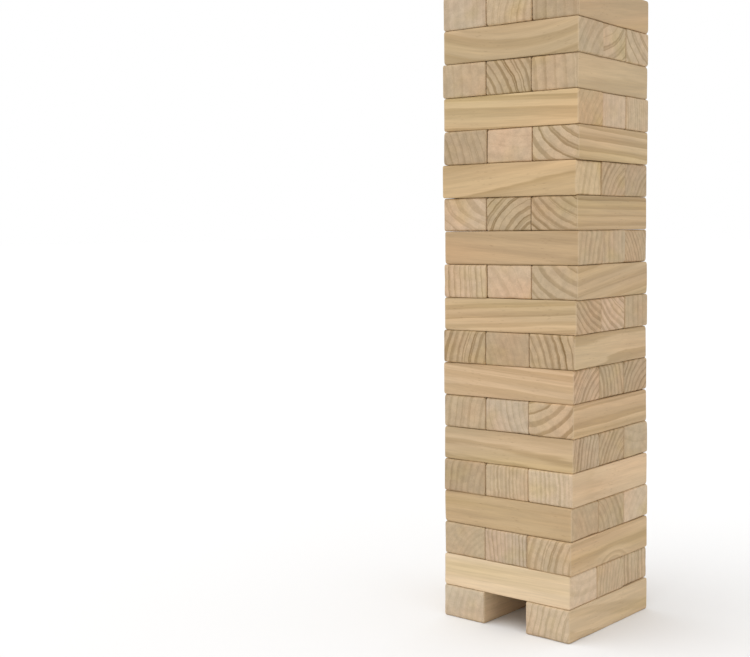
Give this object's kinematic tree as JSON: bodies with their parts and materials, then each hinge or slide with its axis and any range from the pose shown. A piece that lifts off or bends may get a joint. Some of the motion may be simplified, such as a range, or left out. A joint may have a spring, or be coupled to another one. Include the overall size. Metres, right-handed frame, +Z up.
{
  "type": "giant tumbling tower",
  "caption": "Garden stacking game: eased pine blocks laid in crossed courses of three, each block free to be pushed or pulled out lengthwise.",
  "frame": {"origin": "on the ground, at the centre of the tower's footprint", "axes": "+Z up; the two bottom blocks lie along Y with an open gap between them; -Y is the front, where the ends of the odd courses show"},
  "size_m": [0.1887, 0.1886, 0.7276],
  "materials": {
    "pine": "planed and lightly sanded, unfinished"
  },
  "bodies": {
    "base": {"course_01_left_block": "pine", "course_01_right_block": "pine"},
    "course_02_front": {"course_02_front_block": "pine"},
    "course_02_middle": {"course_02_middle_block": "pine"},
    "course_02_back": {"course_02_back_block": "pine"},
    "course_03_left": {"course_03_left_block": "pine"},
    "course_03_middle": {"course_03_middle_block": "pine"},
    "course_03_right": {"course_03_right_block": "pine"},
    "course_04_front": {"course_04_front_block": "pine"},
    "course_04_middle": {"course_04_middle_block": "pine"},
    "course_04_back": {"course_04_back_block": "pine"},
    "course_05_left": {"course_05_left_block": "pine"},
    "course_05_middle": {"course_05_middle_block": "pine"},
    "course_05_right": {"course_05_right_block": "pine"},
    "course_06_front": {"course_06_front_block": "pine"},
    "course_06_middle": {"course_06_middle_block": "pine"},
    "course_06_back": {"course_06_back_block": "pine"},
    "course_07_left": {"course_07_left_block": "pine"},
    "course_07_middle": {"course_07_middle_block": "pine"},
    "course_07_right": {"course_07_right_block": "pine"},
    "course_08_front": {"course_08_front_block": "pine"},
    "course_08_middle": {"course_08_middle_block": "pine"},
    "course_08_back": {"course_08_back_block": "pine"},
    "course_09_left": {"course_09_left_block": "pine"},
    "course_09_middle": {"course_09_middle_block": "pine"},
    "course_09_right": {"course_09_right_block": "pine"},
    "course_10_front": {"course_10_front_block": "pine"},
    "course_10_middle": {"course_10_middle_block": "pine"},
    "course_10_back": {"course_10_back_block": "pine"},
    "course_11_left": {"course_11_left_block": "pine"},
    "course_11_middle": {"course_11_middle_block": "pine"},
    "course_11_right": {"course_11_right_block": "pine"},
    "course_12_front": {"course_12_front_block": "pine"},
    "course_12_middle": {"course_12_middle_block": "pine"},
    "course_12_back": {"course_12_back_block": "pine"},
    "course_13_left": {"course_13_left_block": "pine"},
    "course_13_middle": {"course_13_middle_block": "pine"},
    "course_13_right": {"course_13_right_block": "pine"},
    "course_14_front": {"course_14_front_block": "pine"},
    "course_14_middle": {"course_14_middle_block": "pine"},
    "course_14_back": {"course_14_back_block": "pine"},
    "course_15_left": {"course_15_left_block": "pine"},
    "course_15_middle": {"course_15_middle_block": "pine"},
    "course_15_right": {"course_15_right_block": "pine"},
    "course_16_front": {"course_16_front_block": "pine"},
    "course_16_middle": {"course_16_middle_block": "pine"},
    "course_16_back": {"course_16_back_block": "pine"},
    "course_17_left": {"course_17_left_block": "pine"},
    "course_17_middle": {"course_17_middle_block": "pine"},
    "course_17_right": {"course_17_right_block": "pine"},
    "course_18_front": {"course_18_front_block": "pine"},
    "course_18_middle": {"course_18_middle_block": "pine"},
    "course_18_back": {"course_18_back_block": "pine"},
    "course_19_left": {"course_19_left_block": "pine"},
    "course_19_middle": {"course_19_middle_block": "pine"},
    "course_19_right": {"course_19_right_block": "pine"}
  },
  "joints": [
    {"name": "course_02_front_slide", "type": "slide", "parent": "base", "child": "course_02_front", "axis": [1, 0.009, 0], "range_m": [-0.18, 0.18]},
    {"name": "course_02_middle_slide", "type": "slide", "parent": "base", "child": "course_02_middle", "axis": [1, 0.009, 0], "range_m": [-0.18, 0.18]},
    {"name": "course_02_back_slide", "type": "slide", "parent": "base", "child": "course_02_back", "axis": [1, 0.009, 0], "range_m": [-0.18, 0.18]},
    {"name": "course_03_left_slide", "type": "slide", "parent": "base", "child": "course_03_left", "axis": [-0.0119, 0.9999, 0], "range_m": [-0.18, 0.18]},
    {"name": "course_03_middle_slide", "type": "slide", "parent": "base", "child": "course_03_middle", "axis": [-0.0119, 0.9999, 0], "range_m": [-0.18, 0.18]},
    {"name": "course_03_right_slide", "type": "slide", "parent": "base", "child": "course_03_right", "axis": [-0.0119, 0.9999, 0], "range_m": [-0.18, 0.18]},
    {"name": "course_04_front_slide", "type": "slide", "parent": "base", "child": "course_04_front", "axis": [0.9998, 0.0185, 0], "range_m": [-0.18, 0.18]},
    {"name": "course_04_middle_slide", "type": "slide", "parent": "base", "child": "course_04_middle", "axis": [0.9998, 0.0185, 0], "range_m": [-0.18, 0.18]},
    {"name": "course_04_back_slide", "type": "slide", "parent": "base", "child": "course_04_back", "axis": [0.9998, 0.0185, 0], "range_m": [-0.18, 0.18]},
    {"name": "course_05_left_slide", "type": "slide", "parent": "base", "child": "course_05_left", "axis": [-0.0272, 0.9996, 0], "range_m": [-0.18, 0.18]},
    {"name": "course_05_middle_slide", "type": "slide", "parent": "base", "child": "course_05_middle", "axis": [-0.0272, 0.9996, 0], "range_m": [-0.18, 0.18]},
    {"name": "course_05_right_slide", "type": "slide", "parent": "base", "child": "course_05_right", "axis": [-0.0272, 0.9996, 0], "range_m": [-0.18, 0.18]},
    {"name": "course_06_front_slide", "type": "slide", "parent": "base", "child": "course_06_front", "axis": [0.9994, 0.0347, 0], "range_m": [-0.18, 0.18]},
    {"name": "course_06_middle_slide", "type": "slide", "parent": "base", "child": "course_06_middle", "axis": [0.9994, 0.0347, 0], "range_m": [-0.18, 0.18]},
    {"name": "course_06_back_slide", "type": "slide", "parent": "base", "child": "course_06_back", "axis": [0.9994, 0.0347, 0], "range_m": [-0.18, 0.18]},
    {"name": "course_07_left_slide", "type": "slide", "parent": "base", "child": "course_07_left", "axis": [-0.0389, 0.9992, 0], "range_m": [-0.18, 0.18]},
    {"name": "course_07_middle_slide", "type": "slide", "parent": "base", "child": "course_07_middle", "axis": [-0.0389, 0.9992, 0], "range_m": [-0.18, 0.18]},
    {"name": "course_07_right_slide", "type": "slide", "parent": "base", "child": "course_07_right", "axis": [-0.0389, 0.9992, 0], "range_m": [-0.18, 0.18]},
    {"name": "course_08_front_slide", "type": "slide", "parent": "base", "child": "course_08_front", "axis": [0.999, 0.045, 0], "range_m": [-0.18, 0.18]},
    {"name": "course_08_middle_slide", "type": "slide", "parent": "base", "child": "course_08_middle", "axis": [0.999, 0.045, 0], "range_m": [-0.18, 0.18]},
    {"name": "course_08_back_slide", "type": "slide", "parent": "base", "child": "course_08_back", "axis": [0.999, 0.045, 0], "range_m": [-0.18, 0.18]},
    {"name": "course_09_left_slide", "type": "slide", "parent": "base", "child": "course_09_left", "axis": [-0.0528, 0.9986, 0], "range_m": [-0.18, 0.18]},
    {"name": "course_09_middle_slide", "type": "slide", "parent": "base", "child": "course_09_middle", "axis": [-0.0528, 0.9986, 0], "range_m": [-0.18, 0.18]},
    {"name": "course_09_right_slide", "type": "slide", "parent": "base", "child": "course_09_right", "axis": [-0.0528, 0.9986, 0], "range_m": [-0.18, 0.18]},
    {"name": "course_10_front_slide", "type": "slide", "parent": "base", "child": "course_10_front", "axis": [0.9982, 0.06, 0], "range_m": [-0.18, 0.18]},
    {"name": "course_10_middle_slide", "type": "slide", "parent": "base", "child": "course_10_middle", "axis": [0.9982, 0.06, 0], "range_m": [-0.18, 0.18]},
    {"name": "course_10_back_slide", "type": "slide", "parent": "base", "child": "course_10_back", "axis": [0.9982, 0.06, 0], "range_m": [-0.18, 0.18]},
    {"name": "course_11_left_slide", "type": "slide", "parent": "base", "child": "course_11_left", "axis": [-0.066, 0.9978, 0], "range_m": [-0.18, 0.18]},
    {"name": "course_11_middle_slide", "type": "slide", "parent": "base", "child": "course_11_middle", "axis": [-0.066, 0.9978, 0], "range_m": [-0.18, 0.18]},
    {"name": "course_11_right_slide", "type": "slide", "parent": "base", "child": "course_11_right", "axis": [-0.066, 0.9978, 0], "range_m": [-0.18, 0.18]},
    {"name": "course_12_front_slide", "type": "slide", "parent": "base", "child": "course_12_front", "axis": [0.9973, 0.0728, 0], "range_m": [-0.18, 0.18]},
    {"name": "course_12_middle_slide", "type": "slide", "parent": "base", "child": "course_12_middle", "axis": [0.9973, 0.0728, 0], "range_m": [-0.18, 0.18]},
    {"name": "course_12_back_slide", "type": "slide", "parent": "base", "child": "course_12_back", "axis": [0.9973, 0.0728, 0], "range_m": [-0.18, 0.18]},
    {"name": "course_13_left_slide", "type": "slide", "parent": "base", "child": "course_13_left", "axis": [-0.0716, 0.9974, 0], "range_m": [-0.18, 0.18]},
    {"name": "course_13_middle_slide", "type": "slide", "parent": "base", "child": "course_13_middle", "axis": [-0.0716, 0.9974, 0], "range_m": [-0.18, 0.18]},
    {"name": "course_13_right_slide", "type": "slide", "parent": "base", "child": "course_13_right", "axis": [-0.0716, 0.9974, 0], "range_m": [-0.18, 0.18]},
    {"name": "course_14_front_slide", "type": "slide", "parent": "base", "child": "course_14_front", "axis": [0.9975, 0.0708, 0], "range_m": [-0.18, 0.18]},
    {"name": "course_14_middle_slide", "type": "slide", "parent": "base", "child": "course_14_middle", "axis": [0.9975, 0.0708, 0], "range_m": [-0.18, 0.18]},
    {"name": "course_14_back_slide", "type": "slide", "parent": "base", "child": "course_14_back", "axis": [0.9975, 0.0708, 0], "range_m": [-0.18, 0.18]},
    {"name": "course_15_left_slide", "type": "slide", "parent": "base", "child": "course_15_left", "axis": [-0.0753, 0.9972, 0], "range_m": [-0.18, 0.18]},
    {"name": "course_15_middle_slide", "type": "slide", "parent": "base", "child": "course_15_middle", "axis": [-0.0753, 0.9972, 0], "range_m": [-0.18, 0.18]},
    {"name": "course_15_right_slide", "type": "slide", "parent": "base", "child": "course_15_right", "axis": [-0.0753, 0.9972, 0], "range_m": [-0.18, 0.18]},
    {"name": "course_16_front_slide", "type": "slide", "parent": "base", "child": "course_16_front", "axis": [0.9974, 0.0722, 0], "range_m": [-0.18, 0.18]},
    {"name": "course_16_middle_slide", "type": "slide", "parent": "base", "child": "course_16_middle", "axis": [0.9974, 0.0722, 0], "range_m": [-0.18, 0.18]},
    {"name": "course_16_back_slide", "type": "slide", "parent": "base", "child": "course_16_back", "axis": [0.9974, 0.0722, 0], "range_m": [-0.18, 0.18]},
    {"name": "course_17_left_slide", "type": "slide", "parent": "base", "child": "course_17_left", "axis": [-0.073, 0.9973, 0], "range_m": [-0.18, 0.18]},
    {"name": "course_17_middle_slide", "type": "slide", "parent": "base", "child": "course_17_middle", "axis": [-0.073, 0.9973, 0], "range_m": [-0.18, 0.18]},
    {"name": "course_17_right_slide", "type": "slide", "parent": "base", "child": "course_17_right", "axis": [-0.073, 0.9973, 0], "range_m": [-0.18, 0.18]},
    {"name": "course_18_front_slide", "type": "slide", "parent": "base", "child": "course_18_front", "axis": [0.9975, 0.0712, 0], "range_m": [-0.18, 0.18]},
    {"name": "course_18_middle_slide", "type": "slide", "parent": "base", "child": "course_18_middle", "axis": [0.9975, 0.0712, 0], "range_m": [-0.18, 0.18]},
    {"name": "course_18_back_slide", "type": "slide", "parent": "base", "child": "course_18_back", "axis": [0.9975, 0.0712, 0], "range_m": [-0.18, 0.18]},
    {"name": "course_19_left_slide", "type": "slide", "parent": "base", "child": "course_19_left", "axis": [-0.0738, 0.9973, 0], "range_m": [-0.18, 0.18]},
    {"name": "course_19_middle_slide", "type": "slide", "parent": "base", "child": "course_19_middle", "axis": [-0.0738, 0.9973, 0], "range_m": [-0.18, 0.18]},
    {"name": "course_19_right_slide", "type": "slide", "parent": "base", "child": "course_19_right", "axis": [-0.0738, 0.9973, 0], "range_m": [-0.18, 0.18]}
  ]
}
